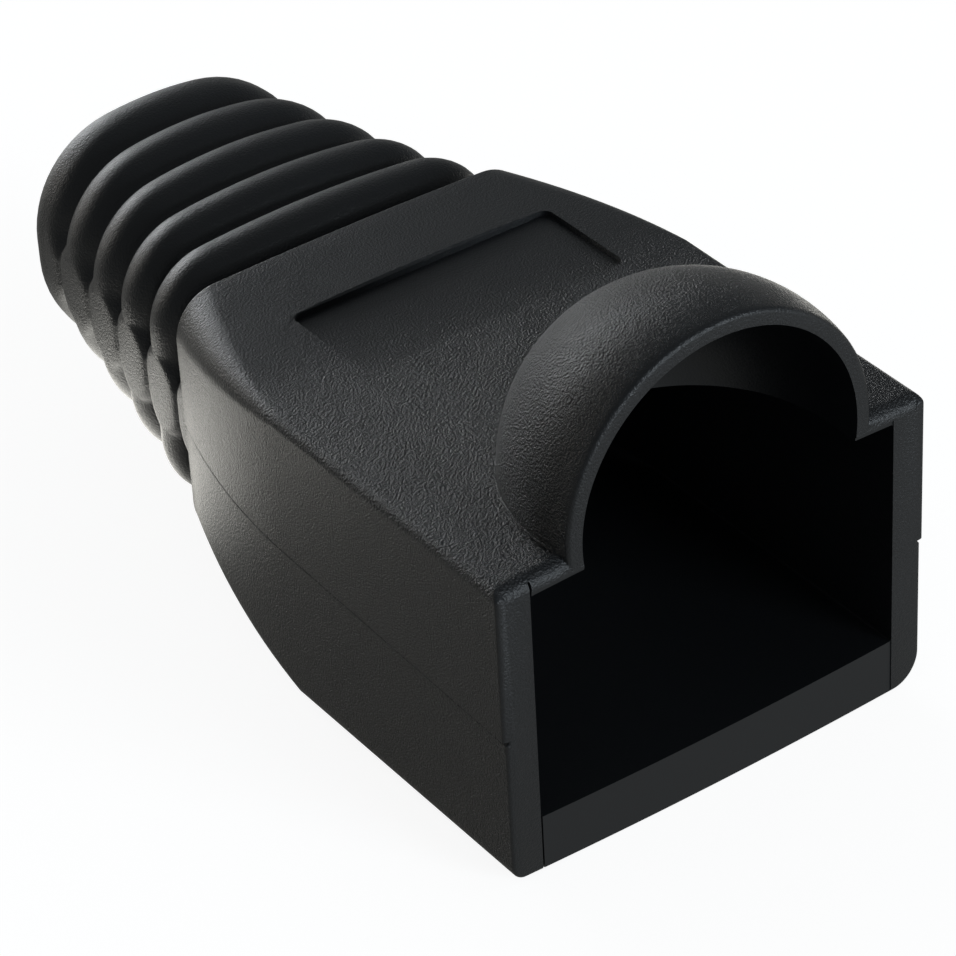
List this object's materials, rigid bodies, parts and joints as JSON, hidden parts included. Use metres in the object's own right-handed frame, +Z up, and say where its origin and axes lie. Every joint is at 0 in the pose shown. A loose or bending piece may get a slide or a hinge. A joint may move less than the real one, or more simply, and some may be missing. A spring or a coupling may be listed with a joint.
{
  "type": "rj45 strain relief boot",
  "caption": "Soft moulded strain relief boot that slips over a modular network plug, with a round hood over the latch and a ribbed, flexible cable tail.",
  "frame": {"origin": "middle of the bounding box's bottom face, so the flat floor of the boot stands at z = 0", "axes": "+Y runs along the cable from the mouth that takes the plug to the ribbed tail, +Z is up through the latch hood, +X is to the right seen from behind the mouth"},
  "size_m": [0.014, 0.0278, 0.0148],
  "materials": {
    "boot": "satin with a fine grain"
  },
  "bodies": {
    "root": {"boot": "boot"}
  },
  "joints": []
}
